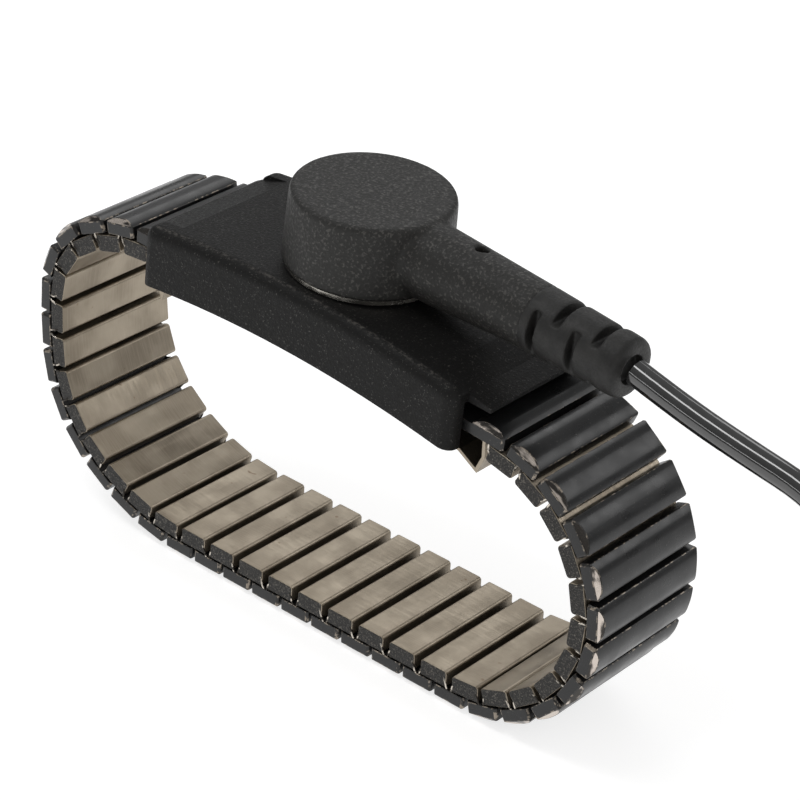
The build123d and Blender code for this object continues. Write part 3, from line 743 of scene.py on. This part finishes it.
def turned(form, profile, axis="X", centre=(0, 0, 0), steps=96):
    """Adds a turned solid to a bmesh from its (along, radius) profile, closed on its axis at both ends."""
    rings = []
    for along, radius in profile:
        if radius == 0:
            place = (along, 0, 0) if axis == "X" else (0, 0, along)
            rings.append([form.verts.new(Vector(place) + Vector(centre))])
            continue
        ring = []
        for i in range(steps):
            turn = 2 * math.pi * i / steps
            a, b = radius * math.cos(turn), radius * math.sin(turn)
            place = (along, a, b) if axis == "X" else (a, b, along)
            ring.append(form.verts.new(Vector(place) + Vector(centre)))
        rings.append(ring)
    for first, second in zip(rings, rings[1:]):
        for i in range(steps):
            j = (i + 1) % steps
            if len(first) == 1:
                form.faces.new((first[0], second[i], second[j]))
            elif len(second) == 1:
                form.faces.new((first[i], second[0], first[j]))
            else:
                form.faces.new((first[i], second[i], second[j], first[j]))
    bmesh.ops.recalc_face_normals(form, faces=form.faces)
    return form


def as_object(form, name):
    mesh = bpy.data.meshes.new(name)
    form.to_mesh(mesh)
    form.free()
    return link_object(name, mesh)


def carved(solid, cutter, material, voxel, smoothing):
    """Solids of the connector's frame merged, cut, rounded as moulded plastic is, and put into the part's."""
    source, tool = as_object(solid, "solid"), as_object(cutter, "cutter")
    merge = source.modifiers.new("merge", "REMESH")
    merge.mode = "VOXEL"
    merge.voxel_size = voxel
    cutting = source.modifiers.new("cut", "BOOLEAN")
    cutting.operation = "DIFFERENCE"
    cutting.solver = "EXACT"
    cutting.object = tool
    even = source.modifiers.new("even", "REMESH")
    even.mode = "VOXEL"
    even.voxel_size = voxel
    even.use_smooth_shade = True
    soften = source.modifiers.new("soften", "SMOOTH")
    soften.factor = 0.5
    soften.iterations = smoothing
    mesh = applied(source)
    bpy.data.objects.remove(tool)
    for polygon in mesh.polygons:
        polygon.use_smooth = True
    mesh.materials.append(material)
    mesh.transform(HEAD @ Matrix.Scale(MM, 4))
    return mesh


def add_box(form, centre, size):
    matrix = Matrix.Translation(centre) @ Matrix.Diagonal((*size, 1))
    bmesh.ops.create_cube(form, size=1.0, matrix=matrix)


# Profiles are (along, radius). The head's, the socket's and the hole's go up the stud's axis, the rest along
# the neck.
NECK_AXIS = (0, 0, NECK_HEIGHT)
KEEL_AXIS = (0, 0, NECK_HEIGHT - 0.35)          # a second, lower cone makes the neck an upright oval
HOLE_PLACE = (15.8, 0.6, 0)
HEAD_PROFILE = [(6.15, 0), (6.15, 9.65), (6.4, 9.72), (14.2, 9.48), (14.7, 9.34), (14.9, 8.95), (14.9, 0)]
NECK_PROFILE = [(0, 0), (0, 4.45), (25.6, 3.82), (25.6, 0)]
KEEL_PROFILE = [(0, 0), (0, 4.5), (11.5, 4.4), (17, 4.0), (24, 3.5), (24, 0)]
SOCKET_PROFILE = [(10.65, 0), (10.65, 4.26), (5.0, 4.26), (5.0, 0)]
HOLE_PROFILE = [(13.2, 0), (13.2, 0.8), (16.0, 0.8), (16.0, 0)]
RELIEF_PROFILE = [(25.3, 0), (25.3, 3.83), (35.4, 3.50), (36.0, 3.58), (37.7, 3.50), (38.1, 3.3), (38.3, 2.6),
                  (38.3, 0)]
RECESS_PROFILE = [(37.2, 0), (37.2, 1.72), (39.5, 1.72), (39.5, 0)]

head_form = turned(bmesh.new(), HEAD_PROFILE, axis="Z")
turned(head_form, NECK_PROFILE, centre=NECK_AXIS)
turned(head_form, KEEL_PROFILE, centre=KEEL_AXIS)
head_cut = turned(bmesh.new(), SOCKET_PROFILE, axis="Z")
turned(head_cut, HOLE_PROFILE, axis="Z", centre=HOLE_PLACE, steps=24)
charcoal = charcoal_grain()
shell = carved(head_form, head_cut, charcoal, voxel=0.22, smoothing=5)
piece("connector_shell", shell, "connector", ["connector_head"])

SLOT_REACH = 4.1                # from the neck's axis to the middle of a slot's box
SIDE_SLOTS = (27.0, 32.3)
TOP_SLOTS = (29.6, 34.9)
relief_form = turned(bmesh.new(), RELIEF_PROFILE, centre=NECK_AXIS)
relief_cut = turned(bmesh.new(), RECESS_PROFILE, centre=NECK_AXIS, steps=32)
for along in SIDE_SLOTS:
    for side in (-1, 1):
        add_box(relief_cut, (along, side * SLOT_REACH, NECK_HEIGHT - 0.5), (1.05, 4.0, 6.2))
for along in TOP_SLOTS:
    for side in (-1, 1):
        add_box(relief_cut, (along, 0, NECK_HEIGHT + side * SLOT_REACH), (1.05, 6.4, 4.0))
relief = carved(relief_form, relief_cut, relief_rubber(), voxel=0.17, smoothing=3)
piece("ribbed_relief", relief, "connector", ["strain_relief"])

# ------------------------------------------------------------------ plug
GRIP_RINGS = 5
GRIP_PITCH = 1.7


def plug_mesh():
    """Banana plug's grip: tapered sleeve, then a body with grip rings."""
    ridge, groove = 4.55, 4.15
    profile = [(0, 0), (0, 2.2), (0.5, 2.45), (8.5, 3.0), (10.0, 3.5), (11.5, 4.35)]
    for i in range(GRIP_RINGS):
        start = 12.2 + GRIP_PITCH * i
        profile += [(start, ridge), (start + 0.9, ridge), (start + 1.15, groove), (start + 1.45, groove)]
    profile += [(20.8, ridge), (23.5, 4.5), (23.95, 4.1), (23.95, 1.6), (23.0, 1.6), (23.0, 0)]
    form = turned(bmesh.new(), profile, steps=64)
    return finished(form, [charcoal], width=0.12, segments=2, angle=30)


plug_form = plug_mesh()
plug_form.transform(Matrix.Translation(Vector(PLUG) * MM) @ Matrix.Scale(MM, 4))
plug = piece("plug_grip", plug_form, "connector", ["plug_body"])

# ------------------------------------------------------------------ CAD pieces that stay, with their finish
FINISHES = {
    moulded_black(): ["plate_housing"],
    brushed_steel("plain_steel", own=False): ["back_plate", "end_pins", "plate_rivets"],
    nickel(): ["snap_stud", "stud_washer", "ring_spring", "base_ring", "snap_socket", "resistor_leads",
               "banana_pin", "clip_lower_jaw", "clip_upper_jaw", "clip_pivot", "clip_spring"],
    lacquer(): ["resistor"],
}
for finish, names in FINISHES.items():
    for name in names:
        frame["nodes"][name].data.materials.clear()
        frame["nodes"][name].data.materials.append(finish)

# ------------------------------------------------------------------ floor and light
FLOOR_REACH = 3.0
FLOOR_DROP = 0.0001             # below the part's lowest point
FLOOR_GREY = (0.50, 0.50, 0.50, 1)
FLOOR_GLOW = 0.74
WHITE = (1.0, 1.0, 1.0, 1)
SKY_LOW, SKY_HIGH = 0.20, 0.44  # strength at the horizon and well above it
SKY_TURN = 0.9                  # height of the unit direction at which the strength stops growing


def area_light(name, place, target, size, power, colour=(1, 1, 1)):
    """A rectangular light; its place, target and size are in metres."""
    light = bpy.data.lights.new(name, "AREA")
    light.shape = "RECTANGLE"
    light.size, light.size_y = size
    light.energy = power
    light.color = colour
    made = link_object(name, light)
    way = Vector(target) - Vector(place)
    made.matrix_world = Matrix.Translation(place) @ way.to_track_quat("-Z", "Y").to_matrix().to_4x4()


floor_mesh = bpy.data.meshes.new("floor")
floor_form = bmesh.new()
bmesh.ops.create_grid(floor_form, x_segments=1, y_segments=1, size=FLOOR_REACH)
floor_form.to_mesh(floor_mesh)
floor_form.free()
floor = link_object("floor", floor_mesh)
floor.location.z = cad_box[0][2] - FLOOR_DROP
floor_paint = bpy.data.materials.new("floor_white")
floor_paint.use_nodes = True
floor_shader = floor_paint.node_tree.nodes["Principled BSDF"]
floor_shader.inputs["Base Color"].default_value = FLOOR_GREY
floor_shader.inputs["Roughness"].default_value = 0.9
floor_shader.inputs["Emission Color"].default_value = WHITE
floor_shader.inputs["Emission Strength"].default_value = FLOOR_GLOW
floor.data.materials.append(floor_paint)

world = bpy.data.worlds.new("studio")
world.use_nodes = True
sky = world.node_tree
direction = sky.nodes.new("ShaderNodeTexCoord")
split = sky.nodes.new("ShaderNodeSeparateXYZ")
height = sky.nodes.new("ShaderNodeMapRange")
height.inputs["From Max"].default_value = SKY_TURN
height.inputs["To Min"].default_value = SKY_LOW
height.inputs["To Max"].default_value = SKY_HIGH
sky.links.new(direction.outputs["Generated"], split.inputs["Vector"])
sky.links.new(split.outputs["Z"], height.inputs["Value"])
sky.links.new(height.outputs["Result"], sky.nodes["Background"].inputs["Strength"])
sky.nodes["Background"].inputs["Color"].default_value = WHITE
scene.world = world
scene.view_settings.view_transform = "Standard"

area_light("back_box", (-0.42, 0.52, 0.50), (0, 0, 0.03), (0.55, 0.35), 0.9)
area_light("right_box", (0.40, 0.56, 0.44), (0, 0, 0.02), (0.35, 0.35), 0.9)
area_light("strip_high", (-0.34, -0.20, 0.64), (-0.34, 0, 0.04), (0.60, 0.12), 1.3)
area_light("strip_low", (-0.36, -0.58, 0.19), (-0.36, 0, 0.04), (0.50, 0.035), 0.22)
area_light("side_box", (0.55, -0.30, 0.45), (0, 0, 0.03), (0.40, 0.40), 0.6, (1.0, 0.97, 0.93))
